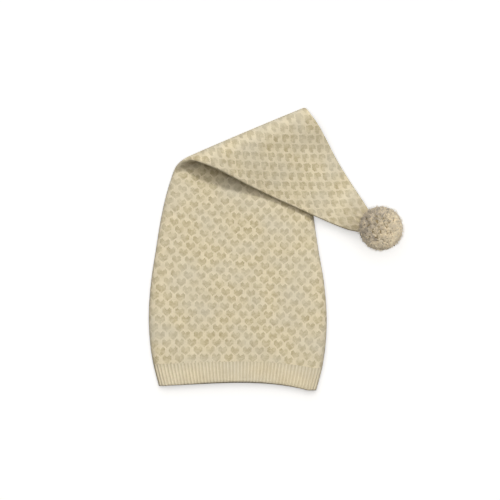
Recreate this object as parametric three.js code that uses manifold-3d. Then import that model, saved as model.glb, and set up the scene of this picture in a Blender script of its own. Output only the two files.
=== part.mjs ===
// Knitted pixie hat, laid flat on a table: a tapering tube of jacquard knit with a ribbed
// rim, its long peak folded over once to the right, and a pompom tied to the tip.
// Millimetres, +Z up. The rim faces -Y, and the origin is under the middle of the hat.
import * as THREE from 'three';
import { mergeVertices } from 'three/addons/utils/BufferGeometryUtils.js';
import Module from 'manifold-3d';

const wasm = await Module();
wasm.setup();

const WALL = 2; // a fine double-bed jacquard in baby wool
const SEAM_GAP = 0.3; // between the ribs and the knit above them
const RIM_DEPTH = 24; // from the hem to the top of the ribs
const RIB_COUNT = 100; // round the whole rim
const RIB_RELIEF = 0.8; // how far a groove lies below its ribs

// The tube spread flat, before its peak is folded, at each distance from the hem: its side
// edges, its thickness, and how far in from its edges it starts to round.
const SPREAD = [
  { along: 0, left: -86.5, right: 86.5, thick: 12, edge: 5 },
  { along: 24, left: -92.5, right: 93, thick: 12.5, edge: 5 },
  { along: 50, left: -96.3, right: 97, thick: 13, edge: 5 },
  { along: 80, left: -97.5, right: 98, thick: 13.5, edge: 5 },
  { along: 115, left: -95, right: 95, thick: 13.5, edge: 5 },
  { along: 150, left: -89.7, right: 89, thick: 13, edge: 5 },
  { along: 185, left: -84, right: 84, thick: 12.5, edge: 6 },
  { along: 215, left: -77, right: 81.5, thick: 12, edge: 10 },
  { along: 245, left: -66.5, right: 79, thick: 10.5, edge: 13 },
  { along: 265, left: -54.5, right: 77.5, thick: 6.5, edge: 9 },
  { along: 285, left: -44.5, right: 76, thick: 6.2, edge: 4 },
  { along: 325, left: -31.5, right: 72, thick: 6, edge: 2 },
  { along: 375, left: -13, right: 56.5, thick: 5.5, edge: 2 },
  { along: 430, left: 9.2, right: 43.5, thick: 5.5, edge: 2 },
  { along: 448, left: 21, right: 38.9, thick: 5.5, edge: 2 },
  { along: 470, left: 33, right: 33, thick: 5.5, edge: 2 },
];
const PLAN_MIDDLE = { x: 42.2, y: 150.15 }; // of the folded hat, from the hem's middle
const FOLD_DEPTH = 5; // how far inside the turned-over tube its knit keeps its own length

// The hem hangs lower at its right corner than at its left, and draws up a little between.
const HEM = { left: 0, middle: 2.2, right: -5.5, reach: 120 };

// The fold is a half turn about a line across the hat. It is loose at its left end, where
// the tube stands open, and tight at its right end.
const FOLD = {
  slope: THREE.MathUtils.degToRad(22.95),
  crossing: 275.7, // where its outline crosses the middle of the hat
  looseRadius: 17,
  tightRadius: 11,
  looseEnd: 36, // places along the fold, from the foot of its own axis
  tightEnd: 191,
  endShare: 0.72, // the open loop closes a little at its very end, between these places
  closingEnd: [15, 52],
};

// Where the peak lies once it is folded.
const PEAK = {
  clearance: 0.6, // over the knit that it lies on
  settling: 60, // how far from the fold it has come down on to the hat
  overhang: 45, // past the hat's right edge it comes down over this length
  lowest: 3, // its underside, over the table
  tiedAt: 18, // its underside where it meets the pompom
  risingFrom: [14, 62], // it rises between these distances from the pompom's middle
};

const BISECTIONS = 40; // to find a place on the fold

// Rows of the knit that are modelled, and the points round each.
const BODY_ROWS = 9;
const FOLD_ROWS = 10;
const PEAK_ROWS = 9;
const FLAT_STEPS = 9; // across each face of the flattened tube
const EDGE_STEPS = 3; // round each quarter of its rounded edges
const EDGE_SHARE = 0.42; // height of the middle of an edge, of the whole thickness

// The tip, past the last open row: drawn together by its yarn inside the pompom.
const TIP = { left: 447, right: 433 };
const GATHER = [
  { past: 5, width: 0.72 },
  { past: 9, width: 0.42 },
  { past: 11, width: 0.2 },
];

const CORE_SIDES = 14;
const LOCK_SIDES = 6;
const POMPOM = {
  x: 158.6,
  y: 172.7,
  radius: 24.1, // over the longest locks
  unevenness: 0.8, // between the longest locks and the shortest
  core: 20,
  locks: 52,
  dimpleGap: 0.35, // round the tip that it is tied to
};
// The outline of a lock: its half width at distances down from its end.
const LOCK_OUTLINE = [
  { half: 6, below: 10 },
  { half: 6, below: 3 },
  { half: 3.6, below: 0.6 },
];

const { lerp, smoothstep, clamp } = THREE.MathUtils;
const alongFold = new THREE.Vector2(Math.cos(FOLD.slope), Math.sin(FOLD.slope));
const overFold = new THREE.Vector2(-alongFold.y, alongFold.x);
const foldOutline = FOLD.crossing * alongFold.x;

// A column of SPREAD at any distance from the hem, as a smooth curve through its rows.
function spread(column, along) {
  let i = SPREAD.findIndex((row) => row.along > along) - 1;
  if (i < 0) i = along < 0 ? 0 : SPREAD.length - 2;
  const [before, from, to, after] = [i - 1, i, i + 1, i + 2].map(
    (k) => SPREAD[clamp(k, 0, SPREAD.length - 1)],
  );
  const length = to.along - from.along;
  const rise = (a, b) => (b[column] - a[column]) / (b.along - a.along);
  const slopeIn = from === before ? rise(from, to) : rise(before, to);
  const slopeOut = to === after ? rise(from, to) : rise(from, after);
  const t = (along - from.along) / length;
  return (
    from[column] * (2 * t ** 3 - 3 * t ** 2 + 1) +
    slopeIn * length * (t ** 3 - 2 * t ** 2 + t) +
    to[column] * (-2 * t ** 3 + 3 * t ** 2) +
    slopeOut * length * (t ** 3 - t ** 2)
  );
}

function hemShift(across, along) {
  const bow = (HEM.left + HEM.right) / 2 - HEM.middle;
  const tilt = (HEM.right - HEM.left) / 2;
  return (HEM.middle + tilt * across + bow * across ** 2) * (1 - smoothstep(along, 0, HEM.reach));
}

function foldRadius(p) {
  const share = (p - FOLD.looseEnd) / (FOLD.tightEnd - FOLD.looseEnd);
  const radius = lerp(FOLD.looseRadius, FOLD.tightRadius, share);
  return radius * lerp(FOLD.endShare, 1, smoothstep(p, ...FOLD.closingEnd));
}

// How far a place on the flat tube has turned over: up to 0 before the fold, past pi after it.
function turnAt(x, y) {
  const p = x * alongFold.x + y * alongFold.y;
  const q = x * overFold.x + y * overFold.y;
  const radius = foldRadius(p);
  return (q - foldOutline + radius) / (radius - FOLD_DEPTH);
}

// Height of what the folded peak lies on: the hat's upper face, then down to the table.
function supportUnder(x, y) {
  const left = spread('left', y);
  const right = spread('right', y);
  const across = clamp((2 * x - left - right) / (right - left), -1, 1);
  const thick = spread('thick', y);
  const upper = thick * (2 * EDGE_SHARE + (1 - 2 * EDGE_SHARE) * (1 - across ** 2));
  const past = smoothstep(x - right, 0, PEAK.overhang);
  return lerp(upper + PEAK.clearance, PEAK.lowest, past);
}

// Takes a point of the flat tube to its place once the peak is folded over.
function folded(x, y, z) {
  const turn = turnAt(x, y);
  if (turn <= 0) return new THREE.Vector3(x, y, z);
  const p = x * alongFold.x + y * alongFold.y;
  const radius = foldRadius(p);
  const bend = Math.min(turn, Math.PI);
  const past = (turn - bend) * (radius - FOLD_DEPTH);
  const q = foldOutline - radius + (radius - z) * Math.sin(bend) - past;
  const place = alongFold.clone().multiplyScalar(p).addScaledVector(overFold, q);
  let height = radius - (radius - z) * Math.cos(bend);
  if (past > 0) {
    const drop = 2 * radius - spread('thick', y) - restUnder(place);
    height -= drop * smoothstep(past, 0, PEAK.settling);
  }
  return new THREE.Vector3(place.x, place.y, height);
}

// Height of the folded peak's underside: it lies on its support, and rises near the pompom to
// where it is tied.
function restUnder(place) {
  const support = supportUnder(place.x, place.y);
  const distance = Math.hypot(place.x - POMPOM.x, place.y - POMPOM.y);
  const [near, far] = PEAK.risingFrom;
  return lerp(PEAK.tiedAt, support, smoothstep(distance, near, far));
}

// One row of the flat tube between its two edges, as places across it and turns round it.
// inset is 0 for the outer face and WALL for the inner one.
function rowLoop({ left, right, along, rounding, width = 1 }, inset, steps) {
  const points = [];
  const centre = left.clone().add(right).multiplyScalar(0.5);
  const half = right.clone().sub(left).multiplyScalar(0.5);
  const reach = half.length() * width - inset;
  const [leftRun, rightRun] = rounding.map((run) => Math.min(run, reach / 2));
  const place = (share, bulge, side) => {
    const at = centre.clone().addScaledVector(half, (share * reach) / half.length());
    const thick = spread('thick', along(share)) - 2 * inset;
    const edge = (thick + 2 * inset) * EDGE_SHARE - inset;
    const arch = (thick / 2 - edge) * (1 - share ** 2);
    const turned = smoothstep(turnAt(at.x, at.y), 0, Math.PI);
    const middle = lerp(edge + arch, thick - edge - arch, turned);
    const z = inset + middle + side * (edge * bulge + arch);
    points.push({ x: at.x, y: at.y + hemShift(share, along(share)), z });
  };
  for (const side of [1, -1]) {
    const [runFrom, runTo] = side > 0 ? [leftRun, rightRun] : [rightRun, leftRun];
    const [from, to] = [1 - runFrom / reach, 1 - runTo / reach];
    for (let i = 0; i < steps.edge; i++) {
      const angle = (Math.PI / 2) * (1 - i / steps.edge);
      place(-side * (from + (1 - from) * Math.sin(angle)), Math.cos(angle), side);
    }
    for (let i = 0; i < steps.flat; i++) {
      place(side * lerp(-from, to, i / steps.flat), 1, side);
    }
    for (let i = 0; i < steps.edge; i++) {
      const angle = (Math.PI / 2) * (i / steps.edge);
      place(side * (to + (1 - to) * Math.sin(angle)), Math.cos(angle), side);
    }
  }
  return points;
}

// The row whose two ends lie at the given distances from the hem.
function rowBetween(leftAlong, rightAlong, width) {
  return {
    left: new THREE.Vector2(spread('left', leftAlong), leftAlong),
    right: new THREE.Vector2(spread('right', rightAlong), rightAlong),
    along: (share) => lerp(leftAlong, rightAlong, (share + 1) / 2),
    rounding: [spread('edge', leftAlong), spread('edge', rightAlong)],
    width,
  };
}

// The distance from the hem at which an edge of the tube has turned over by the given angle.
function alongAtTurn(column, turn) {
  let low = HEM.reach;
  let high = SPREAD.at(-1).along;
  for (let i = 0; i < BISECTIONS; i++) {
    const mid = (low + high) / 2;
    if (turnAt(spread(column, mid), mid) < turn) low = mid;
    else high = mid;
  }
  return low;
}

function rowAtTurn(turn) {
  return rowBetween(alongAtTurn('left', turn), alongAtTurn('right', turn));
}

function crownRows() {
  const start = RIM_DEPTH + SEAM_GAP;
  const foldStart = [alongAtTurn('left', 0), alongAtTurn('right', 0)];
  const foldEnd = [alongAtTurn('left', Math.PI), alongAtTurn('right', Math.PI)];
  const rows = [];
  for (let i = 0; i < BODY_ROWS; i++) {
    const share = i / BODY_ROWS;
    rows.push(rowBetween(lerp(start, foldStart[0], share), lerp(start, foldStart[1], share)));
  }
  for (let i = 0; i < FOLD_ROWS; i++) {
    rows.push(rowAtTurn((Math.PI * i) / FOLD_ROWS));
  }
  for (let i = 0; i <= PEAK_ROWS; i++) {
    const share = i / PEAK_ROWS;
    rows.push(rowBetween(lerp(foldEnd[0], TIP.left, share), lerp(foldEnd[1], TIP.right, share)));
  }
  return rows;
}

function gatherRows() {
  return GATHER.map(({ past, width }) =>
    rowBetween(TIP.left + past, TIP.right + past, width),
  );
}

// A closed solid from a chain of loops with equally many points, each joined to the next.
// The chain's two ends are covered over or, in a ring, joined to each other.
function solidFromChain(loops, isRing) {
  const positions = loops.flat().flatMap((v) => [v.x, v.y, v.z]);
  const indices = [];
  const count = loops[0].length;
  const band = (from, to) => {
    for (let i = 0; i < count; i++) {
      const next = (i + 1) % count;
      const [a, b, c, d] = [from + i, from + next, to + next, to + i];
      indices.push(a, b, c, a, c, d);
    }
  };
  const cover = (loop, at) => {
    const middle = loop.reduce((sum, v) => sum.add(v), new THREE.Vector3());
    middle.divideScalar(count);
    const apex = positions.length / 3;
    positions.push(middle.x, middle.y, middle.z);
    for (let i = 0; i < count; i++) at(i, (i + 1) % count, apex);
  };
  const last = (loops.length - 1) * count;
  for (let start = 0; start < last; start += count) band(start, start + count);
  if (isRing) {
    band(last, 0);
  } else {
    cover(loops[0], (i, next, apex) => indices.push(next, i, apex));
    cover(loops.at(-1), (i, next, apex) => indices.push(last + i, last + next, apex));
  }
  const geometry = new THREE.BufferGeometry();
  geometry.setAttribute('position', new THREE.Float32BufferAttribute(positions, 3));
  geometry.setIndex(indices);
  return geometry;
}

function foldedLoop(row, inset, steps) {
  return rowLoop(row, inset, steps).map((v) => folded(v.x, v.y, v.z));
}

function crownGeometry() {
  const steps = { flat: FLAT_STEPS, edge: EDGE_STEPS };
  const rows = crownRows();
  const outer = [...rows, ...gatherRows()].map((row) => foldedLoop(row, 0, steps));
  const inner = rows.map((row) => foldedLoop(row, WALL, steps));
  return solidFromChain([...inner.toReversed(), ...outer], false);
}

// Points at equal steps round a closed loop.
function evenly(loop, count) {
  const path = new THREE.CurvePath();
  loop.forEach((point, i) => path.add(new THREE.LineCurve3(point, loop[(i + 1) % loop.length])));
  return path.getSpacedPoints(count).slice(0, count);
}

// A loop with a groove pressed into every second point.
function grooved(loop) {
  return loop.map((point, i) => {
    if (i % 2 === 0) return point;
    const before = loop[i - 1];
    const after = loop[(i + 1) % loop.length];
    const chord = new THREE.Vector3().subVectors(after, before);
    const inward = new THREE.Vector3(-chord.z, 0, chord.x).normalize();
    return point.clone().addScaledVector(inward, -RIB_RELIEF);
  });
}

function ribBandGeometry() {
  const steps = { flat: 3 * FLAT_STEPS, edge: 3 * EDGE_STEPS };
  const rows = [0, RIM_DEPTH / 2, RIM_DEPTH].map((along) => rowBetween(along, along));
  const outer = rows.map((row) => grooved(evenly(foldedLoop(row, 0, steps), 2 * RIB_COUNT)));
  const inner = rows.map((row) => evenly(foldedLoop(row, WALL, steps), 2 * RIB_COUNT));
  return solidFromChain([...inner.toReversed(), ...outer], true);
}

function manifoldOf(geometry) {
  const plain = geometry.clone();
  plain.deleteAttribute('normal');
  plain.deleteAttribute('uv');
  const merged = mergeVertices(plain, 1e-5);
  return new wasm.Manifold(
    new wasm.Mesh({
      numProp: 3,
      vertProperties: new Float32Array(merged.attributes.position.array),
      triVerts: new Uint32Array(merged.index.array),
    }),
  );
}

function geometryOf(manifold) {
  const mesh = manifold.getMesh();
  const geometry = new THREE.BufferGeometry();
  geometry.setAttribute('position', new THREE.BufferAttribute(mesh.vertProperties, 3));
  geometry.setIndex(new THREE.BufferAttribute(mesh.triVerts, 1));
  return geometry;
}

// One lock of cut yarn, standing along +Z from inside the core.
function lockGeometry(reach) {
  const foot = new THREE.Vector2(0, reach - LOCK_OUTLINE[0].below);
  const side = LOCK_OUTLINE.map(({ half, below }) => new THREE.Vector2(half, reach - below));
  const lock = new THREE.LatheGeometry([foot, ...side, new THREE.Vector2(0, reach)], LOCK_SIDES);
  return lock.rotateX(Math.PI / 2);
}

// Locks spread evenly over the ball, each a little longer or shorter than the next.
function pompomGeometry() {
  const { x, y, radius, unevenness, core, locks, dimpleGap } = POMPOM;
  const up = new THREE.Vector3(0, 0, 1);
  const goldenTurn = Math.PI * (3 - Math.sqrt(5));
  let ball = manifoldOf(new THREE.SphereGeometry(core, CORE_SIDES, CORE_SIDES / 2));
  for (let i = 0; i < locks; i++) {
    const height = 1 - (2 * i + 1) / locks;
    const spoke = Math.sqrt(1 - height ** 2);
    const turn = i * goldenTurn;
    const shortBy = (unevenness * (1 + Math.sin(i * goldenTurn))) / 2;
    const outward = new THREE.Vector3(spoke * Math.cos(turn), spoke * Math.sin(turn), height);
    const lock = lockGeometry(radius - shortBy);
    lock.applyQuaternion(new THREE.Quaternion().setFromUnitVectors(up, outward));
    ball = ball.add(manifoldOf(lock));
  }
  const placed = geometryOf(ball);
  placed.computeBoundingBox();
  placed.translate(x, y, -placed.boundingBox.min.z);
  return geometryOf(manifoldOf(placed).subtract(manifoldOf(dimpleCutter(dimpleGap))));
}

// The tip's own shape, made larger all round by the gap that the pompom keeps from it.
function dimpleCutter(gap) {
  const steps = { flat: FLAT_STEPS, edge: EDGE_STEPS };
  const behind = rowBetween(TIP.left - POMPOM.radius, TIP.right - POMPOM.radius);
  const rows = [behind, rowBetween(TIP.left, TIP.right), ...gatherRows()];
  const loops = rows.map((row) => foldedLoop(row, -gap, steps));
  const [from, to] = loops.slice(-2);
  const ahead = to.map((v, i) => {
    const onward = new THREE.Vector3().subVectors(v, from[i]).setLength(gap);
    return v.clone().add(onward);
  });
  return solidFromChain([...loops, ahead], false);
}

function knitMesh(name, geometry, color) {
  const material = new THREE.MeshStandardMaterial({ color, roughness: 0.95, metalness: 0 });
  const mesh = new THREE.Mesh(geometry, material);
  mesh.name = name;
  return mesh;
}

const hat = new THREE.Group();
hat.position.set(-PLAN_MIDDLE.x, -PLAN_MIDDLE.y, 0);
hat.add(knitMesh('crown', crownGeometry(), 0xd9ccaa));
hat.add(knitMesh('rib_band', ribBandGeometry(), 0xe0d5b8));
hat.add(knitMesh('pompom', pompomGeometry(), 0xbfb196));

export default hat;
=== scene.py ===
"""Looks of the knitted pixie hat: a jacquard crown folded over once, a ribbed rim and a pompom.

Lengths are millimetres in the hat's own plan, whose origin is the middle of the hem, until
in_frame() takes them to metres in the shared frame. One unit of the UV map "stitches" is
one stitch: U counts wales and V counts courses.
"""
import math

import bmesh
import bpy
import numpy as np
from mathutils import Matrix, Vector


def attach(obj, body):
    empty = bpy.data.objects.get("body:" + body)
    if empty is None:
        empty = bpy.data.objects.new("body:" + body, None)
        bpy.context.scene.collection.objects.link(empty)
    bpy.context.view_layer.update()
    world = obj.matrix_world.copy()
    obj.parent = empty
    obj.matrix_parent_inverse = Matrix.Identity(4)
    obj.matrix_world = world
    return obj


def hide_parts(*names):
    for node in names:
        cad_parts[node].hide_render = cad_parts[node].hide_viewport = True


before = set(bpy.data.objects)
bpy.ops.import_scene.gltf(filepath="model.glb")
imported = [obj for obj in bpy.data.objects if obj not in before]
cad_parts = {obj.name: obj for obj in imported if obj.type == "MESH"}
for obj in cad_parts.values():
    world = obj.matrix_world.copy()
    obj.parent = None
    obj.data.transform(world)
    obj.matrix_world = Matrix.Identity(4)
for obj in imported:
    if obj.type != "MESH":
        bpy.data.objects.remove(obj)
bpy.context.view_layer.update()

MM = 0.001
RANDOM_SEED = 11

# ---- the hat's form ----
# It is the CAD model's, and most of the sizes are too. The rounded edges are wider here, the hem
# line is finer, the peak's edge lifts, and the pompom's centre is 1.4 mm further in.

WALL = 2
RIM_DEPTH = 24
RIB_COUNT = 100
# The tube spread flat, before its peak is folded, at each distance from the hem: its side
# edges, its thickness, and how far in from its edges it starts to round.
SPREAD = {
    "along": (0, 24, 50, 80, 115, 150, 185, 215, 245, 265, 285, 325, 375, 430, 448, 470),
    "left": (
        -86.5, -92.5, -96.3, -97.5, -95, -89.7, -84, -77,
        -66.5, -54.5, -44.5, -31.5, -13, 9.2, 21, 33,
    ),
    "right": (86.5, 93, 97, 98, 95, 89, 84, 81.5, 79, 77.5, 76, 72, 56.5, 43.5, 38.9, 33),
    "thick": (12, 12.5, 13, 13.5, 13.5, 13, 12.5, 12, 10.5, 6.5, 6.2, 6, 5.5, 5.5, 5.5, 5.5),
    "edge": (7, 8, 11, 12, 12, 12, 12, 12, 12, 7, 4, 2, 2, 2, 2, 2),
}
PLAN_MIDDLE = (42.2, 150.15)  # the frame's origin in the hat's plan
HEM_LINE = (3.4, 0.5, -6.9, -4.1)  # the hem's height across the hat, as a cubic of -1 to 1
HEM_CORNER, HEM_REACH = 0.9, 120  # level past this place across; fades out this far up
EDGE_SHARE = 0.42  # height of the middle of an edge, of the whole thickness
EDGE_SLUMP = -0.3  # the folded peak is widest near its upper face
CROWN_START = RIM_DEPTH + 0.1  # the crown's first row, just off the band's last

# The fold goes round a roll, whose radius falls along it from the open loop.
FOLD_SLOPE = math.radians(22.95)
FOLD_CROSSING = 275.7  # where the fold's outline crosses the hat's middle line
FOLD_OUTLINE = FOLD_CROSSING * math.cos(FOLD_SLOPE)
FOLD_DEPTH = 5  # how far inside the turned-over tube its knit keeps its own length
FOLD_SEARCH, HALVINGS = (150, 470), 40  # where along an edge its turns are looked for
LOOSE_RADIUS, LOOSE_END = 17, 36
TIGHT_RADIUS, TIGHT_END = 11, 191
LOOP_END, LOOP_END_SHARE = (15, 52), 0.72  # the open loop closes a little at its very end

# The peak settles onto the crown past the fold, and past the crown's edge onto the table.
PEAK_CLEARANCE, PEAK_SETTLING = 0.6, 60
PEAK_OVERHANG, PEAK_LOWEST = 45, 3
PEAK_TIED_AT, PEAK_RISING_FROM = 18, (14, 62)  # it rises to where the pompom is tied on
PEAK_LIFT, PEAK_LIFT_FROM, PEAK_LIFT_TO = 3, (0, 30), (32, 72)
TIP_LEFT, TIP_RIGHT = 447, 433
TIP_PLEATS, TIP_PLEAT_RELIEF, TIP_PLEATS_FROM = 5, 0.5, (412, 450)
GATHER = ((0, 1), (5, 0.72), (9, 0.42), (11, 0.2))  # distance past the tip row, share of its width
LEAST_HALF_WIDTH = 0.05

# Soft rises and hollows in the cloth's uppermost face, which fade in from its edges and rim.
RELIEF_FROM_EDGE, RELIEF_FROM_RIM = 0.15, 30
HOLLOW, HOLLOW_PAST_FOLD, HOLLOW_WIDTH, HOLLOW_ALONG = -0.5, 38, 14, (40, 90)
CREASE, CREASE_X, CREASE_WIDTH = 1.3, 26, 8
CREASE_FROM, CREASE_TO, CREASE_TOP = (15, 45), (90, 125), 120
SLACK = 0.45
SLACK_X, SLACK_Y = 17, 23  # its waves are 2 pi times as long
SLACK_BEND_X, SLACK_BEND_Y, SLACK_BEND = 29, 31, 0.7

# ---- the knit ----

WALE = 1.34  # width of a stitch: ten to a heart and its gap
COURSE = 1.11  # height of a stitch: seven to a row of hearts
HEART_PITCH, HEART_ROWS = 10, 7
HEART_HALF, LOBE_FROM_MIDDLE = 3, 2  # stitches to each side of a heart's middle one
FIRST_HEART_COURSE = 21
STITCH_LEAN = 0.9  # courses by which a stitch's legs climb over half its width
STITCH_RELIEF, CROWN_BUMP, RIB_BUMP = 0.3, 0.6, 0.35  # and how strongly each knit shows it
HEART_SUNK = 0.35  # share of that relief

# How the wales and courses lie on the spread hat, as shares of their own size, and how those
# change with each millimetre across and up it.
BODY_PHASE = (-0.84, -1.5)  # stitches: sets the lowest hearts just above the ribs
BODY_TOP = 185  # up to here the courses climb ever more
BODY_WALES, BODY_WALES_APART, BODY_WALES_MIDDLE = 0.963, 6.9e-6, 110
BODY_WALES_FAN, BODY_WALES_LEAN = 0.00015, 0.055
BODY_COURSES, BODY_COURSES_CLOSER = 0.947, 0.00024
BODY_CLIMB, BODY_CLIMB_MORE = 0.012, 0.00039
BODY_BOW, BODY_BOW_GONE = 0.0008, 98.5
CORNER_RISE, CORNER_RISE_ACROSS = 2.4, (38, 72)
HEM_DIP, HEM_DIP_ACROSS, HEM_WAVE_GONE = 1.3, (5, 42), (60, 120)
PEAK_PHASE = (2.9, -6.97)
PEAK_KNIT_FROM, TIP_KNIT_FROM = (180, 260), 328
PEAK_WALES, PEAK_WALES_FAN = 1.075, 0.0005
PEAK_COURSES, PEAK_CLIMB = 1.0127, 0.16
TIP_WALES, TIP_WALES_LEAN = 0.0008, 0.0014
TIP_CLIMB, TIP_COURSES = 0.0014, 0.0006

# Spacing of the modelled points, in millimetres or in steps.
BODY_STEP, PEAK_STEP = 1.75, 1.7
FOLD_STEPS = 24
INNER_COARSER = 2  # the crown's inner face has this many times fewer rows
FLAT_STEPS = 100  # across each face of the flattened tube
EDGE_STEPS = 8  # round each quarter of its rounded edges
RIB_STEPS = 8  # over a rib and its groove
RIB_ROW_STEP = 1.2
LIP_STEPS = 6  # round the hem
MERGED_WITHIN = 0.001
SHARP_ANGLE = 65  # degrees between faces, past which an edge shows

# ---- the ribbed band ----

RIB_RELIEF, RIB_SHARPNESS = 0.85, 1.5
RIB_FADE, RIB_AT_CROWN, RIB_AT_HEM = 3, 0.5, 0.45  # shares of the relief left at its two ends
HEM_STAGGER = 1.2  # the under layer of the hem shows this far beyond the upper one
HEM_CURL, HEM_CURL_DEPTH = 0.05, 2.5  # the hem curls in: share of its thickness, and how far up

# ---- the pompom ----

POMPOM_X, POMPOM_Y, POMPOM_HEIGHT, POMPOM_RADIUS = 157.3, 173.3, 23.6, 24.6
HEAD_SHARE = 0.88  # of the radius
YARN_ENDS, STRANDS = 1700, 7
END_SCATTER = 0.018  # of the radius
STRAND_ROOT = 0.72  # of the radius
STRAND_RINGS = (0, 0.55, 1)  # shares of a strand's length
STRAND_HALF_WIDTHS = (0.4, 0.6, 0.5)  # thicker than the real fibres, so that they show
STRAND_SIDES = 3
STRAND_POINTS = len(STRAND_RINGS) * STRAND_SIDES + 1
STRAND_POINT_LENGTH = 0.35
STRAND_LEAN, STRAND_SPLAY = 2, 0.8
TRIMMED_BY, TRIM_UNEVEN = 1, 0.5
STRAY_SHARE, STRAY_REACH, STRAY_THIN = 0.1, (0.8, 3.2), 0.3  # fuzz: single fibres further out
LOWEST_YARN = 0.2
# the side towards the peak: greyer yarn there, and painted shade on its ends
GREY_AND_SHADE_SIDE, GREY_AND_SHADE_RANGE, GREY_AND_SHADE_SCATTER = (-0.8, 0.35, 0.05), (-0.35, 0.75), 0.22
BEIGE_WEIGHT, GREY_WEIGHT, MIX_CONTRAST = 0.5, 1.1, 1.5
# each end's tone, darker by painted shade on the side towards the peak
DARK_END, DARK_END_SHADED_SIDE, PALE_END = 0.82, 0.24, 1.17

# ---- the yarns: sRGB colours, each from its darker flecks to its paler ones, and painted shades ----

GROUND_YARN = ("#D4C8AA", "#E2D6B9")
HEART_YARN = ("#B2A481", "#D5C9A8")
RIB_YARN = ("#D6CAAD", "#E3D8BC")
FADED_WOOL = "#CDC9BC"
# painted shade on the peak's end, by the pompom
TIP_SHADE_COLOUR = "#96866A"
# painted shade in the grooves between the ribs
RIB_GROOVE_SHADE = "#A59776"
POMPOM_YARN = ("#FBF0D8", "#F0E2C6", "#D2C7B8")  # cream, beige and grey
# painted shade: the head shows darker than the yarn through the gaps between the ends
POMPOM_HEAD_SHADE = "#A39474"
GROUND_PATCH, HEART_PATCH = 9, 5  # stitches across the slow patches of tone in the yarn
PATCH_CONTRAST, PATCH_FROM, FLECK_CONTRAST = 1.7, -0.6, 0.5
FADED_PATCH, FADED_CONTRAST, FADED_FROM = 28, 1.1, -0.43  # broader ones over the whole cloth
TIP_SHADE_FROM, TIP_SHADE_SHARE = (368, 396), 0.5  # courses over which painted shade darkens the knit towards the tip, by the pompom
# how far painted shade darkens the rib's grooves
GROOVE_SHADE_SHARE = 0.43

# ---- the view from above, and the floor: metres, apart from the lens ----

LENS, SENSOR = 400, 36
VIEW_WIDTH, VIEW_MIDDLE, VIEW_DEPTH = 0.55, (-0.02844, -0.00055, 0), 50
FLOOR_HALF_WIDTH = 6
WHITE, WARM = (1, 1, 1), (1, 0.78, 0.45)  # the lamps' colours


def smoothstep(value, low, high):
    t = np.clip((value - low) / (high - low), 0, 1)
    return t * t * (3 - 2 * t)


def lerp(a, b, t):
    return a + (b - a) * t


def bell(value, middle, width):
    return np.exp(-(((value - middle) / width) ** 2))


def travelled(steps):
    """How far along a line each of its points lies, from the lengths between them."""
    return np.concatenate([[0], np.cumsum(steps)])


def in_frame(x, y, z):
    """Points of the hat's plan, in millimetres, as rows of metres in the shared frame."""
    return np.stack([x - PLAN_MIDDLE[0], y - PLAN_MIDDLE[1], z], axis=-1) * MM


def linear(hex_colour):
    """An sRGB hex colour as linear RGBA."""
    channels = [int(hex_colour[i : i + 2], 16) / 255 for i in (1, 3, 5)]
    return (*[c / 12.92 if c <= 0.04045 else ((c + 0.055) / 1.055) ** 2.4 for c in channels], 1)


def link(name, data):
    """A new object, in the scene."""
    made = bpy.data.objects.new(name, data)
    bpy.context.scene.collection.objects.link(made)
    return made


# ---- the folded tube ----


def spread(column, along):
    """A column of SPREAD at any distances from the hem, as a smooth curve through its rows."""
    rows = np.array(SPREAD["along"], float)
    values = np.array(SPREAD[column], float)
    rise = np.diff(values) / np.diff(rows)
    inner = (values[2:] - values[:-2]) / (rows[2:] - rows[:-2])
    slopes = np.concatenate([rise[:1], inner, rise[-1:]])
    i = np.clip(np.searchsorted(rows, along, side="right") - 1, 0, len(rows) - 2)
    length = rows[i + 1] - rows[i]
    t = (along - rows[i]) / length
    return (
        values[i] * (2 * t**3 - 3 * t**2 + 1)
        + slopes[i] * length * (t**3 - 2 * t**2 + t)
        + values[i + 1] * (-2 * t**3 + 3 * t**2)
        + slopes[i + 1] * length * (t**3 - t**2)
    )


def hem_shift(across, along):
    """How far up the hem's wavy line moves the knit."""
    line = np.polynomial.polynomial.polyval(np.minimum(across, HEM_CORNER), HEM_LINE)
    return line * (1 - smoothstep(along, 0, HEM_REACH))


def fold_axes(x, y):
    """Distances along the fold line and past the middle of the hem at right angles to it."""
    p = x * math.cos(FOLD_SLOPE) + y * math.sin(FOLD_SLOPE)
    q = y * math.cos(FOLD_SLOPE) - x * math.sin(FOLD_SLOPE)
    return p, q


def fold_radius(p):
    """Radius of the roll that the fold goes round, at a distance along the fold line."""
    radius = lerp(LOOSE_RADIUS, TIGHT_RADIUS, (p - LOOSE_END) / (TIGHT_END - LOOSE_END))
    return radius * lerp(LOOP_END_SHARE, 1, smoothstep(p, *LOOP_END))


def turn_at(x, y):
    """How far a place on the flat tube has turned over: up to 0 before the fold, past pi after."""
    p, q = fold_axes(x, y)
    radius = fold_radius(p)
    return (q - FOLD_OUTLINE + radius) / (radius - FOLD_DEPTH)


def support_under(x, y):
    """Height of what the folded peak lies on: the hat's upper face, then down to the table."""
    left, right, thick = (spread(column, y) for column in ("left", "right", "thick"))
    across = np.clip((2 * x - left - right) / (right - left), -1, 1)
    upper = thick * (2 * EDGE_SHARE + (1 - 2 * EDGE_SHARE) * (1 - across**2))
    return lerp(upper + PEAK_CLEARANCE, PEAK_LOWEST, smoothstep(x - right, 0, PEAK_OVERHANG))


def rest_under(x, y):
    """Height of the folded peak's underside: on its support, and up to where it is tied."""
    distance = np.hypot(x - POMPOM_X, y - POMPOM_Y)
    return lerp(PEAK_TIED_AT, support_under(x, y), smoothstep(distance, *PEAK_RISING_FROM))


def edge_lift(x, y, past):
    """How far the lower edge of the folded peak stands up from what it lies on."""
    left, right = spread("left", y), spread("right", y)
    to_edge = 1 - np.clip((x - left) / (right - left), 0, 1)
    along_it = smoothstep(past, *PEAK_LIFT_FROM) * (1 - smoothstep(past, *PEAK_LIFT_TO))
    return PEAK_LIFT * to_edge**2 * along_it


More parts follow.
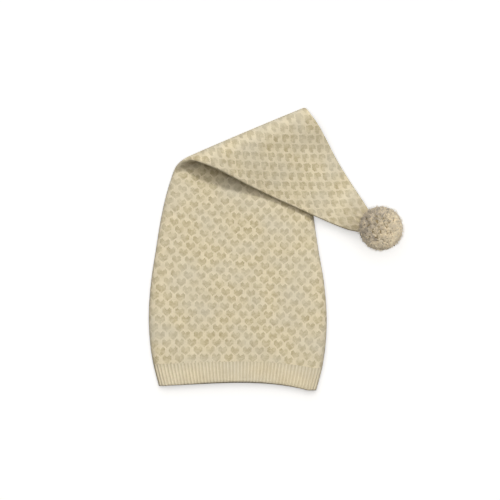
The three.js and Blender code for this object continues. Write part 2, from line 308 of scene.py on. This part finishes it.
def folded(x, y, z):
    """Takes points of the flat tube to their places once the peak is folded over."""
    turn = turn_at(x, y)
    p, _ = fold_axes(x, y)
    radius = fold_radius(p)
    bend = np.clip(turn, 0, math.pi)
    past = np.maximum(turn - math.pi, 0) * (radius - FOLD_DEPTH)
    q = FOLD_OUTLINE - radius + (radius - z) * np.sin(bend) - past
    over_x = p * math.cos(FOLD_SLOPE) - q * math.sin(FOLD_SLOPE)
    over_y = p * math.sin(FOLD_SLOPE) + q * math.cos(FOLD_SLOPE)
    drop = 2 * radius - spread("thick", y) - rest_under(over_x, over_y)
    drop = drop * smoothstep(past, 0, PEAK_SETTLING) - edge_lift(x, y, past)
    height = radius - (radius - z) * np.cos(bend) - np.where(past > 0, drop, 0)
    turned = turn > 0
    return np.where(turned, over_x, x), np.where(turned, over_y, y), np.where(turned, height, z)


def ring_columns():
    """Places round a flattened loop from its right edge: under it to the left, back over it.

    Gives for each its side (1 above, -1 below), its place across the flat part and its
    angle round the rounded edge.
    """
    quarter = np.linspace(0, math.pi / 2, EDGE_STEPS + 1)
    flat = np.linspace(-1, 1, FLAT_STEPS + 1)
    parts = [
        (-1, np.ones(EDGE_STEPS), quarter[:0:-1]),
        (-1, flat[:0:-1], np.zeros(FLAT_STEPS)),
        (-1, -np.ones(EDGE_STEPS), quarter[:-1]),
        (1, -np.ones(EDGE_STEPS), quarter[:0:-1]),
        (1, flat[:-1], np.zeros(FLAT_STEPS)),
        (1, np.ones(EDGE_STEPS + 1), quarter),
    ]
    side = np.concatenate([np.full(len(place), s) for s, place, _ in parts])
    place = np.concatenate([place for _, place, _ in parts])
    angle = np.concatenate([angle for _, _, angle in parts])
    return side, place, angle


def flat_rows(left_along, right_along, width, inset, columns):
    """Rows of the tube laid flat, each between two distances along its side edges.

    width is the share of the tube's width that each row keeps, and inset how far inside the
    outer face it lies. Gives x, y and z, and then x and y as the cloth has them, which runs
    on round the rounded edges.
    """
    side, place, angle = columns
    left_along, right_along, width, inset = (
        np.asarray(v, float)[:, None] for v in (left_along, right_along, width, inset)
    )
    left_x, right_x = spread("left", left_along), spread("right", right_along)
    half = np.hypot(right_x - left_x, right_along - left_along) / 2
    reach = np.maximum(half * width - inset, LEAST_HALF_WIDTH)
    run = np.where(place < 0, spread("edge", left_along), spread("edge", right_along))
    run = np.minimum(run, reach / 2)
    share = place * (1 - run / reach) + np.sign(place) * run / reach * np.sin(angle)
    scaled = share * reach / half
    x = (left_x + right_x) / 2 + scaled * (right_x - left_x) / 2
    y = (left_along + right_along) / 2 + scaled * (right_along - left_along) / 2
    along = lerp(left_along, right_along, (share + 1) / 2)
    thick = spread("thick", along)
    edge = thick * EDGE_SHARE - inset
    arch = (thick / 2 - thick * EDGE_SHARE) * (1 - share**2)
    turned = smoothstep(turn_at(x, y), 0, math.pi)
    slump = EDGE_SLUMP * turned
    middle = lerp(edge + arch, thick - 2 * inset - edge * (1 - EDGE_SLUMP) - arch, turned)
    z = inset + middle + side * (edge * (1 - side * slump) * np.cos(angle) + arch)
    quarter = math.pi / 2 * np.sqrt((run**2 + edge**2) / 2)
    beyond = np.sign(place) * (quarter * angle / (math.pi / 2) - run * np.sin(angle))
    shifted = y + hem_shift(share, along)
    return x, shifted, z, x + beyond, shifted


def along_at_turn(column, turn):
    """The distance from the hem at which an edge of the tube has turned over by an angle."""
    low, high = FOLD_SEARCH
    for _ in range(HALVINGS):
        middle = (low + high) / 2
        if turn_at(spread(column, middle), middle) < turn:
            low = middle
        else:
            high = middle
    return low


def crown_rows(coarser):
    """Distances from the hem along both edges, and the share of the width, of each row."""
    edges, tip = ("left", "right"), (TIP_LEFT, TIP_RIGHT)
    turn_in = [along_at_turn(edge, 0) for edge in edges]
    turn_out = [along_at_turn(edge, math.pi) for edge in edges]
    body_steps = round((turn_in[0] - CROWN_START) / BODY_STEP / coarser)
    fold_steps = FOLD_STEPS // coarser
    peak_steps = round((tip[0] - turn_out[0]) / PEAK_STEP / coarser)
    rows = []
    for i in range(body_steps):
        rows.append([lerp(CROWN_START, end, i / body_steps) for end in turn_in] + [1])
    for i in range(fold_steps):
        rows.append([along_at_turn(edge, math.pi * i / fold_steps) for edge in edges] + [1])
    for i in range(peak_steps):
        rows.append([lerp(start, end, i / peak_steps) for start, end in zip(turn_out, tip)] + [1])
    for past, width in GATHER:
        rows.append([end + past for end in tip] + [width])
    return np.array(rows)


# ---- the crown and the band ----


def grid_piece(name, places, below, above, left_edge):
    """A mesh over a table of places, closed where its edges or whole rows meet.

    places is rows x columns x 3. below and above hold a UV for each of them: that of the
    hat's under face, for the columns up to left_edge, and that of its upper face past it.
    """
    rows, columns = places.shape[:2]
    bm = bmesh.new()
    bm.loops.layers.uv.new("stitches")
    bmesh.ops.create_grid(bm, x_segments=columns - 1, y_segments=rows - 1, size=1, calc_uvs=True)
    mesh = bpy.data.meshes.new(name)
    bm.to_mesh(mesh)
    bm.free()

    flat = np.empty(len(mesh.vertices) * 3)
    mesh.vertices.foreach_get("co", flat)
    flat = flat.reshape(-1, 3)
    column = np.rint((flat[:, 0] + 1) / 2 * (columns - 1)).astype(int)
    row = np.rint((flat[:, 1] + 1) / 2 * (rows - 1)).astype(int)
    mesh.vertices.foreach_set("co", places[row, column].ravel())

    corner = np.empty(len(mesh.loops), int)
    mesh.loops.foreach_get("vertex_index", corner)
    row, column = row[corner], column[corner]
    face_column = column.reshape(-1, 4).mean(axis=1).repeat(4)
    is_below = (face_column < left_edge)[:, None]
    uv = np.where(is_below, below[row, column], above[row, column])
    mesh.uv_layers["stitches"].uv.foreach_set("vector", uv.ravel())

    bm = bmesh.new()
    bm.from_mesh(mesh)
    bmesh.ops.remove_doubles(bm, verts=bm.verts, dist=MERGED_WITHIN * MM)
    for face in bm.faces:
        face.smooth = True
    bm.to_mesh(mesh)
    bm.free()
    mesh.set_sharp_from_angle(angle=math.radians(SHARP_ANGLE))
    return link(name, mesh)


def soft_relief(x, y):
    """Height of the soft rises and hollows that lie in the cloth, over the hat's plan."""
    p, q = fold_axes(x, y)
    hollow = HOLLOW * bell(FOLD_OUTLINE - q, HOLLOW_PAST_FOLD, HOLLOW_WIDTH)
    hollow = hollow * smoothstep(p, *HOLLOW_ALONG)
    crease = CREASE * bell(x, CREASE_X, CREASE_WIDTH)
    crease = crease * smoothstep(y, *CREASE_FROM) * (1 - smoothstep(y, *CREASE_TO))
    waves_x = np.sin(x / SLACK_X + np.sin(y / SLACK_BEND_Y))
    waves_y = np.sin(y / SLACK_Y + SLACK_BEND * np.sin(x / SLACK_BEND_X))
    relief = np.where(y < CREASE_TOP, crease, 0) + hollow + SLACK * waves_x * waves_y
    return relief * smoothstep(y, RIM_DEPTH, RIM_DEPTH + RELIEF_FROM_RIM)


def body_stitches(x, y):
    """The UV of places on the hat's upper face: wales across it and courses up from the hem.

    The courses bow with the hem low down, and higher up they climb towards the fold's open
    loop. The wales stand a little apart in the middle of the body.
    """
    high = np.minimum(y, BODY_TOP)
    apart = BODY_WALES + BODY_WALES_APART * (high - BODY_WALES_MIDDLE) ** 2
    u = x * apart + BODY_WALES_FAN * x**2 - BODY_WALES_LEAN * y
    climb = BODY_CLIMB + BODY_CLIMB_MORE * high
    bow = BODY_BOW * x**2 * (1 - high / BODY_BOW_GONE)
    wave = CORNER_RISE * smoothstep(x, *CORNER_RISE_ACROSS) - HEM_DIP * smoothstep(x, *HEM_DIP_ACROSS)
    wave = wave * (1 - smoothstep(y, *HEM_WAVE_GONE))
    v = y * (BODY_COURSES + BODY_COURSES_CLOSER * y) + x * climb + bow + wave
    return np.stack([u / WALE, v / COURSE], axis=-1) + BODY_PHASE


def peak_stitches(x, y):
    """The same for its under face, which is uppermost on the folded peak.

    The knit is drawn in there, and turns a little towards the tip.
    """
    in_peak = smoothstep(y, *PEAK_KNIT_FROM)
    past = np.maximum(y - TIP_KNIT_FROM, 0)
    u = x * (lerp(1, PEAK_WALES, in_peak) + TIP_WALES * past)
    u = u - PEAK_WALES_FAN * in_peak * x**2 - TIP_WALES_LEAN * past**2
    v = y * PEAK_COURSES + x * (PEAK_CLIMB * in_peak + TIP_CLIMB * past) - TIP_COURSES * past**2
    return np.stack([-u / WALE, v / COURSE], axis=-1) + PEAK_PHASE


def make_crown():
    """The tapering tube with its folded peak: an outer face, and an inner one a wall inside it."""
    columns = ring_columns()
    inner, outer = crown_rows(INNER_COARSER)[::-1], crown_rows(1)
    rows = np.concatenate([inner, outer])
    inset = np.concatenate([np.full(len(inner), WALL), np.zeros(len(outer))])
    x, y, z, cloth_x, cloth_y = flat_rows(*rows.T, inset, columns)
    side, place, _ = columns
    tied = smoothstep(rows[:, :1], *TIP_PLEATS_FROM)
    pleats = side * TIP_PLEAT_RELIEF * tied * np.sin(TIP_PLEATS * math.pi * place)
    z = z + pleats * (1 - np.abs(place))
    uppermost = np.clip(side * np.cos(np.clip(turn_at(x, y), 0, math.pi)), 0, 1)
    uppermost = uppermost * smoothstep(1 - np.abs(place), 0, RELIEF_FROM_EDGE)
    x, y, z = folded(x, y, z)
    places = in_frame(x, y, z + uppermost * soft_relief(x, y))
    for end in (0, -1):
        places[end] = places[end].mean(axis=0)
    below, above = peak_stitches(cloth_x, cloth_y), body_stitches(cloth_x, cloth_y)
    return grid_piece("jacquard_crown", places, below, above, FLAT_STEPS + 2 * EDGE_STEPS)


def evenly(loop, count):
    """Points at equal steps round a closed loop, given as rows of x, y, z. The last is the first."""
    distances = travelled(np.linalg.norm(np.diff(loop, axis=0), axis=1))
    wanted = np.linspace(0, distances[-1], count + 1)
    return np.stack([np.interp(wanted, distances, loop[:, axis]) for axis in range(3)], axis=-1)


def band_section():
    """Round the wall of the ribbed band: distance from the hem and depth in the wall."""
    lip = WALL / 2
    up = np.arange(lip, RIM_DEPTH, RIB_ROW_STEP)
    angles = np.linspace(0, math.pi, LIP_STEPS + 1)
    round_lip = [(lip - lip * math.sin(angle), lip + lip * math.cos(angle)) for angle in angles]
    outer = [(along, 0) for along in up[1:]]
    top = [(RIM_DEPTH, depth) for depth in (0, lip, WALL)]
    inner = [(along, WALL) for along in up[:0:-1]]
    return np.array([*round_lip, *outer, *top, *inner, round_lip[0]])


def outward_of(loops):
    """Directions out of closed loops, square to them and with no part along the hat."""
    chord = np.roll(loops[:, :-1], -1, axis=1) - np.roll(loops[:, :-1], 1, axis=1)
    chord = np.concatenate([chord, chord[:, :1]], axis=1)
    outward = np.stack([-chord[..., 2], np.zeros(chord.shape[:2]), chord[..., 0]], axis=-1)
    return outward / np.linalg.norm(outward, axis=-1, keepdims=True)


def make_rib_band():
    """Knit-one purl-one ribs: the whole wall is corrugated, and rounded over at the hem."""
    along, depth = band_section().T
    columns = ring_columns()
    _, place, _ = columns
    loops = flat_rows(along, along, np.ones(len(along)), depth, columns)
    loops = np.stack(loops[:3], axis=-1)
    to_hem = 1 - smoothstep(along, 0, RIM_DEPTH)
    upper_layer = loops[..., 2] / loops[..., 2].max() * (1 - place**2)
    loops[..., 1] += HEM_STAGGER * to_hem[:, None] * upper_layer
    loops[..., 2] *= 1 - HEM_CURL * (1 - smoothstep(along, 0, HEM_CURL_DEPTH))[:, None]
    steps = RIB_COUNT * RIB_STEPS
    loops = np.array([evenly(loop, steps) for loop in loops])
    rib = np.arange(steps + 1) / RIB_STEPS
    groove = ((1 - np.cos(2 * math.pi * rib)) / 2) ** RIB_SHARPNESS
    firm_top = lerp(RIB_AT_CROWN, 1, smoothstep(RIM_DEPTH - along, 0, RIB_FADE))
    firm_hem = lerp(RIB_AT_HEM, 1, smoothstep(along, 0, RIB_FADE))
    sunk = RIB_RELIEF * groove[None, :] * (firm_top * firm_hem)[:, None]
    places = in_frame(*np.moveaxis(loops - outward_of(loops) * sunk[..., None], -1, 0))
    courses = travelled(np.hypot(np.diff(along), np.diff(depth))) / COURSE
    stitches = np.stack(np.broadcast_arrays(2 * rib[None, :], courses[:, None]), axis=-1)
    return grid_piece("rib_knit_band", places, stitches, stitches, 0)


# ---- the pompom ----


def unit(directions):
    return directions / np.linalg.norm(directions, axis=-1, keepdims=True)


def yarn_ends(rng):
    """The direction and colour of each yarn end, evenly scattered over the whole ball."""
    number = np.arange(YARN_ENDS)
    height = 1 - (2 * number + 1) / YARN_ENDS
    golden_turn = number * math.pi * (3 - math.sqrt(5))
    spoke = np.sqrt(1 - height**2)
    outward = np.stack([spoke * np.cos(golden_turn), spoke * np.sin(golden_turn), height], axis=-1)
    outward = unit(outward + rng.normal(0, END_SCATTER, outward.shape))
    # greyer towards the peak: partly real grey yarn, partly painted shade
    to_grey_and_shade_side = outward @ np.array(GREY_AND_SHADE_SIDE) + rng.normal(0, GREY_AND_SHADE_SCATTER, YARN_ENDS)
    greyed_and_shaded = smoothstep(to_grey_and_shade_side, *GREY_AND_SHADE_RANGE)
    fleck = rng.random(YARN_ENDS)
    weights = [1 - greyed_and_shaded, np.full(YARN_ENDS, BEIGE_WEIGHT), greyed_and_shaded * GREY_WEIGHT]
    mix = np.stack(weights, axis=-1) * rng.random((YARN_ENDS, 3)) ** MIX_CONTRAST
    mix /= mix.sum(axis=-1, keepdims=True)
    # painted shade: ends on the side towards the peak are darker; fleck is each end's own tone
    shade = lerp(DARK_END - DARK_END_SHADED_SIDE * greyed_and_shaded, PALE_END, fleck)[:, None]
    return outward, (mix @ np.array([linear(c)[:3] for c in POMPOM_YARN])) * shade


def sideways(outward, step):
    """A step with the part of it that leads outward taken off."""
    return step - outward * (step * outward).sum(axis=-1, keepdims=True)


def strand_points(rng, outward):
    """The points of every strand: rings from its root up, then its tip.

    All strands of a yarn end lean one way, and each splays a little from the others.
    """
    count = len(outward)
    lean = rng.normal(0, STRAND_LEAN, (YARN_ENDS, 3)).repeat(STRANDS, axis=0)
    lean = sideways(outward, lean)
    splay = sideways(outward, rng.normal(0, STRAND_SPLAY, (count, 3)))
    stray = rng.random(count) < STRAY_SHARE
    reach = POMPOM_RADIUS - TRIMMED_BY - np.abs(rng.normal(0, TRIM_UNEVEN, count))
    reach += stray * rng.uniform(*STRAY_REACH, count)
    share = np.array(STRAND_RINGS)[None, :, None]
    spine = outward[:, None] * lerp(STRAND_ROOT * POMPOM_RADIUS, reach[:, None, None], share)
    spine = spine + lean[:, None] * share**2 + splay[:, None] * share
    across = unit(np.cross(outward, rng.normal(0, 1, (count, 3))))
    other = np.cross(outward, across)
    angle = np.arange(STRAND_SIDES) * 2 * math.pi / STRAND_SIDES
    ring = across[:, None] * np.cos(angle)[:, None] + other[:, None] * np.sin(angle)[:, None]
    half = np.array(STRAND_HALF_WIDTHS) * np.where(stray, STRAY_THIN, 1)[:, None]
    tube = spine[:, :, None] + ring[:, None] * half[:, :, None, None]
    tip = spine[:, -1] + outward * STRAND_POINT_LENGTH
    points = np.concatenate([tube.reshape(count, -1, 3), tip[:, None]], axis=1).reshape(-1, 3)
    points += np.array([POMPOM_X, POMPOM_Y, POMPOM_HEIGHT])
    points[:, 2] = np.maximum(points[:, 2], LOWEST_YARN)
    return points


def strand_faces():
    """The faces of one strand, by the number of its points: quads up its sides, then its tip."""
    n = STRAND_SIDES
    lower_rings = range(0, STRAND_POINTS - 1 - n, n)
    sides = [
        (ring + i, ring + (i + 1) % n, ring + n + (i + 1) % n, ring + n + i)
        for ring in lower_rings
        for i in range(n)
    ]
    last, tip = STRAND_POINTS - 1 - n, STRAND_POINTS - 1
    return sides + [(last + i, last + (i + 1) % n, tip) for i in range(n)]


def strand_mesh(points, colour):
    """One mesh of all the strands, each point with the colour of its yarn."""
    count = len(points) // STRAND_POINTS
    faces = strand_faces()
    start = np.arange(count)[:, None] * STRAND_POINTS
    corners = np.concatenate([start + np.array(face) for face in faces], axis=1)
    sizes = np.tile([len(face) for face in faces], count)
    mesh = bpy.data.meshes.new("pompom_yarn")
    mesh.vertices.add(len(points))
    mesh.vertices.foreach_set("co", in_frame(*points.T).ravel())
    mesh.loops.add(corners.size)
    mesh.loops.foreach_set("vertex_index", corners.ravel())
    mesh.polygons.add(len(sizes))
    mesh.polygons.foreach_set("loop_start", np.concatenate([[0], np.cumsum(sizes)[:-1]]))
    mesh.update(calc_edges=True)
    shades = mesh.color_attributes.new("yarn", "FLOAT_COLOR", "POINT")
    colour = colour.repeat(STRAND_POINTS, axis=0)
    shades.data.foreach_set("color", np.c_[colour, np.ones(len(points))].ravel())
    return mesh


def add_head(mesh):
    """The close mass of yarn under the ends, so that no gap between them is a hole; its darker colour
    is painted shade deep between the ends.
    """
    bm = bmesh.new()
    bm.from_mesh(mesh)
    shade = bm.verts.layers.float_color["yarn"]
    place = Vector(in_frame(POMPOM_X, POMPOM_Y, POMPOM_HEIGHT))
    head = bmesh.ops.create_icosphere(
        bm, subdivisions=4, radius=HEAD_SHARE * POMPOM_RADIUS * MM, matrix=Matrix.Translation(place)
    )
    for vert in head["verts"]:
        vert[shade] = linear(POMPOM_HEAD_SHADE)
    bm.to_mesh(mesh)
    bm.free()


def make_pompom():
    """Cut yarn ends standing out from a tied head, each a few strands splayed from one root."""
    rng = np.random.default_rng(RANDOM_SEED)
    outward, colour = (values.repeat(STRANDS, axis=0) for values in yarn_ends(rng))
    mesh = strand_mesh(strand_points(rng, outward), colour)
    add_head(mesh)
    return link("pompom_yarn", mesh)


# ---- materials ----


def plug(source, socket):
    """Links a socket, or the output that a node's settings leave in use, to an input."""
    if isinstance(source, bpy.types.Node):
        source = next(output for output in source.outputs if output.enabled)
    socket.id_data.links.new(source, socket)


def node(material, kind, *inputs, **settings):
    """Adds a shader node with its settings, and gives the inputs they leave in use, in order.

    Each is a value, a socket or another node, or None for one that keeps its own value.
    """
    made = material.node_tree.nodes.new("ShaderNode" + kind)
    for name, value in settings.items():
        setattr(made, name, value)
    in_use = [socket for socket in made.inputs if socket.enabled]
    for socket, value in zip(in_use, inputs):
        if isinstance(value, (bpy.types.Node, bpy.types.NodeSocket)):
            plug(value, socket)
        elif value is not None:
            socket.default_value = value
    return made


def wool(name, roughness, sheen):
    """Merino yarn: matt, with hardly a shine, and the pale halo of its fuzz at grazing angles."""
    material = bpy.data.materials.new(name)
    material.use_nodes = True
    shader = material.node_tree.nodes["Principled BSDF"]
    shader.inputs["Roughness"].default_value = roughness
    shader.inputs["Specular IOR Level"].default_value = 0.15
    shader.inputs["Sheen Weight"].default_value = sheen
    return material, shader


def stitches_of(material):
    """The V-shaped stitches of plain knit, from the UV map that counts them.

    Gives the stitch's wale and course, and the height of its two legs.
    """
    place = node(material, "SeparateXYZ", node(material, "UVMap", uv_map="stitches"))
    wale = node(material, "Math", place.outputs["X"], operation="FLOOR")
    across = node(material, "Math", place.outputs["X"], operation="FRACT")
    off_middle = node(material, "Math", across, 0.5, operation="SUBTRACT")
    off_middle = node(material, "Math", off_middle, operation="ABSOLUTE")
    lifted = node(
        material, "Math", off_middle, -STITCH_LEAN, place.outputs["Y"], operation="MULTIPLY_ADD"
    )
    course = node(material, "Math", lifted, operation="FLOOR")
    up = node(material, "Math", lifted, operation="FRACT")
    leg = node(material, "Math", across, 2 * math.pi, operation="MULTIPLY")
    leg = node(material, "Math", leg, operation="SINE")
    leg = node(material, "Math", leg, operation="ABSOLUTE")
    bulge = node(material, "Math", up, math.pi, operation="MULTIPLY")
    bulge = node(material, "Math", bulge, operation="SINE")
    height = node(material, "Math", leg, bulge, operation="MULTIPLY")
    height = node(material, "Math", height, 0.5, operation="POWER")
    return wale, course, height


def heart_chart(material, wale, course):
    """1 on the stitches of the heart colour.

    Point down, seven wide and eight high, in rows seven high and half a pitch apart, so that
    the tops of the lobes stand in the first row of the hearts above:
        .#...#.
        ###.###
        #######
        #######
        #######
        .#####.
        ..###..
        ...#...
    """
    band = node(material, "Math", course, HEART_ROWS, operation="DIVIDE")
    band = node(material, "Math", band, operation="FLOOR")
    row = node(material, "Math", band, -HEART_ROWS, course, operation="MULTIPLY_ADD")
    shifted = node(material, "Math", band, 2, operation="FLOORED_MODULO")
    shifted = node(material, "Math", shifted, HEART_PITCH / 2, wale, operation="MULTIPLY_ADD")
    across = node(material, "Math", shifted, HEART_PITCH, operation="FLOORED_MODULO")
    across = node(material, "Math", across, HEART_PITCH / 2, operation="SUBTRACT")
    across = node(material, "Math", across, operation="ABSOLUTE")
    half = node(material, "Math", row, HEART_HALF, operation="MINIMUM")
    half = node(material, "Math", half, 0.5, operation="ADD")
    body = node(material, "Math", across, half, operation="LESS_THAN")
    notch = node(material, "Math", row, HEART_ROWS - 1.5, operation="SUBTRACT")
    notch = node(material, "Math", across, notch, operation="LESS_THAN")
    body = node(material, "Math", body, notch, operation="SUBTRACT")
    lobe_tops = node(
        material, "Math", across, HEART_PITCH / 2 - LOBE_FROM_MIDDLE, 0.5, operation="COMPARE"
    )
    first_row = node(material, "Math", row, 0.5, operation="LESS_THAN")
    heart = node(material, "Math", lobe_tops, first_row, body, operation="MULTIPLY_ADD")
    charted = node(material, "Math", course, FIRST_HEART_COURSE - 0.5, operation="GREATER_THAN")
    return node(material, "Math", heart, charted, operation="MULTIPLY")


def spun(material, stitch, patch, dark, pale):
    """A yarn's colour, a tone for each stitch: its own fleck, on slow light and dark patches."""
    fleck = node(material, "TexWhiteNoise", stitch, noise_dimensions="2D")
    slow = node(material, "TexNoise", stitch, 1 / patch, 1)
    slow = node(material, "Math", slow, PATCH_CONTRAST, PATCH_FROM, operation="MULTIPLY_ADD")
    tone = node(
        material, "Math", fleck, FLECK_CONTRAST, slow, operation="MULTIPLY_ADD", use_clamp=True
    )
    return node(material, "Mix", tone, linear(dark), linear(pale), data_type="RGBA")


def faded(material, stitch, colour):
    """The colour with the broad, faint patches where the wool is a little greyer."""
    patch = node(material, "TexNoise", stitch, 1 / FADED_PATCH, 1)
    patch = node(
        material, "Math", patch, FADED_CONTRAST, FADED_FROM, operation="MULTIPLY_ADD", use_clamp=True
    )
    return node(material, "Mix", patch, colour, linear(FADED_WOOL), data_type="RGBA")


def jacquard_knit():
    """Merino in two-colour jacquard, machine knit: ecru ground, hearts in a beige melange.

    It gives faint hearts that sink a little, over rows of small stitches at their true size.
    """
    material, shader = wool("ecru and beige merino jacquard", roughness=0.92, sheen=0.4)
    wale, course, height = stitches_of(material)
    heart = heart_chart(material, wale, course)
    stitch = node(material, "CombineXYZ", wale, course)
    ground = spun(material, stitch, GROUND_PATCH, *GROUND_YARN)
    melange = spun(material, stitch, HEART_PATCH, *HEART_YARN)
    knit = node(material, "Mix", heart, ground, melange, data_type="RGBA")
    knit = faded(material, stitch, knit)
    # painted shade: the knit darkens towards the tip, where the pompom shades it
    tip_shade = node(material, "MapRange", course, *TIP_SHADE_FROM, 0, TIP_SHADE_SHARE)
    knit = node(material, "Mix", tip_shade, knit, linear(TIP_SHADE_COLOUR), data_type="RGBA")
    plug(knit, shader.inputs["Base Color"])
    raised = node(material, "Math", heart, -HEART_SUNK, height, operation="MULTIPLY_ADD")
    bump = node(material, "Bump", CROWN_BUMP, STITCH_RELIEF * MM, None, raised)
    plug(bump, shader.inputs["Normal"])
    return material


def rib_knit():
    """The same merino in one colour, in knit-one purl-one rib.

    It gives pale ribs with painted shade in the grooves between them, and a finer relief than the
    crown's.
    """
    material, shader = wool("ecru merino rib", roughness=0.92, sheen=0.4)
    wale, course, height = stitches_of(material)
    stitch = node(material, "CombineXYZ", wale, course)
    yarn = faded(material, stitch, spun(material, stitch, GROUND_PATCH, *RIB_YARN))
    place = node(material, "SeparateXYZ", node(material, "UVMap", uv_map="stitches"))
    # painted shade: a darker colour in the grooves between the ribs
    groove = node(material, "Math", place.outputs["X"], math.pi / 2, operation="MULTIPLY")
    groove = node(material, "Math", groove, operation="SINE")
    groove = node(material, "Math", groove, 2, operation="POWER")
    groove = node(material, "Math", groove, GROOVE_SHADE_SHARE, operation="MULTIPLY")
    yarn = node(material, "Mix", groove, yarn, linear(RIB_GROOVE_SHADE), data_type="RGBA")
    plug(yarn, shader.inputs["Base Color"])
    bump = node(material, "Bump", RIB_BUMP, STITCH_RELIEF * MM, None, height)
    plug(bump, shader.inputs["Normal"])
    return material


def pompom_yarn():
    """Cut ends of melange merino yarn: each strand one tone, from cream to grey-brown, with greyer
    yarn and painted shade on the side by the peak.
    """
    material, shader = wool("melange merino yarn ends", roughness=0.9, sheen=0.2)
    plug(node(material, "VertexColor", layer_name="yarn"), shader.inputs["Base Color"])
    return material


def white_table():
    """Matt white laminate with a little light of its own, so that it shows as plain white."""
    material = bpy.data.materials.new("matt white table")
    material.use_nodes = True
    shader = material.node_tree.nodes["Principled BSDF"]
    shader.inputs["Base Color"].default_value = (0.9, 0.9, 0.9, 1)
    shader.inputs["Roughness"].default_value = 0.9
    shader.inputs["Specular IOR Level"].default_value = 0.1
    shader.inputs["Emission Strength"].default_value = 0.49
    return material


# ---- scene ----


def add_camera():
    data = bpy.data.cameras.new("camera")
    data.lens, data.sensor_width = LENS, SENSOR
    data.clip_end = VIEW_DEPTH
    camera = link("camera", data)
    camera.location = Vector(VIEW_MIDDLE) + Vector((0, 0, LENS / SENSOR * VIEW_WIDTH))
    bpy.context.scene.camera = camera


def add_floor():
    bm = bmesh.new()
    bmesh.ops.create_grid(bm, x_segments=1, y_segments=1, size=FLOOR_HALF_WIDTH)
    mesh = bpy.data.meshes.new("floor")
    bm.to_mesh(mesh)
    bm.free()
    mesh.materials.append(white_table())
    floor = link("floor", mesh)
    floor.visible_diffuse = False


def add_world():
    """The studio's pale walls. They are only seen: the lamps alone light the hat."""
    world = bpy.data.worlds.new("studio")
    world.use_nodes = True
    background = world.node_tree.nodes["Background"]
    background.inputs["Color"].default_value = (0.9, 0.9, 0.9, 1)
    world.cycles_visibility.diffuse = False
    world.cycles_visibility.glossy = False
    bpy.context.scene.world = world


def add_sun(name, energy, softness, toward, lights=(), shadows=(), colour=WHITE):
    """A lamp, as wide in the sky as its softness in degrees.

    Where pieces are named, it lights only those in lights, and only those in shadows block it.
    """
    data = bpy.data.lights.new(name, "SUN")
    data.energy = energy
    data.color = colour
    data.angle = math.radians(softness)
    light = link(name, data)
    light.rotation_euler = Vector(toward).to_track_quat("-Z", "Y").to_euler()
    for linking, pieces in (("receiver_collection", lights), ("blocker_collection", shadows)):
        if pieces:
            linked = bpy.data.collections.new(name + " " + linking)
            for piece in pieces:
                linked.objects.link(piece)
            setattr(light.light_linking, linking, linked)


def add_lamps(crown, rib_band, pompom):
    """A studio of soft light from above and from beyond the peak, with a small hard key."""
    knit, hat = (crown, rib_band), (crown, rib_band, pompom)
    add_sun("glow of the room", energy=0.25, softness=160, toward=(0, 0, -1), colour=WARM)
    add_sun(
        "light off the table", energy=0.45, softness=150, toward=(0, 0.6, 1), lights=hat, shadows=hat
    )
    add_sun("overhead softbox", energy=0.6, softness=46, toward=(0.03, -0.26, -1))
    add_sun("softbox past the pompom", energy=1.25, softness=70, toward=(0.08, -0.5, -1), shadows=knit)
    add_sun("key", energy=2, softness=9, toward=(-0.25, -0.95, -1), lights=knit)
    add_sun("pompom key", energy=0.75, softness=30, toward=(-0.62, -0.2, -1), lights=(pompom,))


def main():
    bpy.context.scene.view_settings.view_transform = "Standard"
    add_camera()
    add_floor()
    crown, rib_band, pompom = make_crown(), make_rib_band(), make_pompom()
    for piece, material, solid, slot in (
        (crown, jacquard_knit(), "crown", "jacquard_knit"),
        (rib_band, rib_knit(), "rib_band", "rib_knit"),
        (pompom, pompom_yarn(), "pompom", "melange_yarn"),
    ):
        piece.data.materials.append(material)
        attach(piece, "root")
        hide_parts(solid)
    add_world()
    add_lamps(crown, rib_band, pompom)


main()
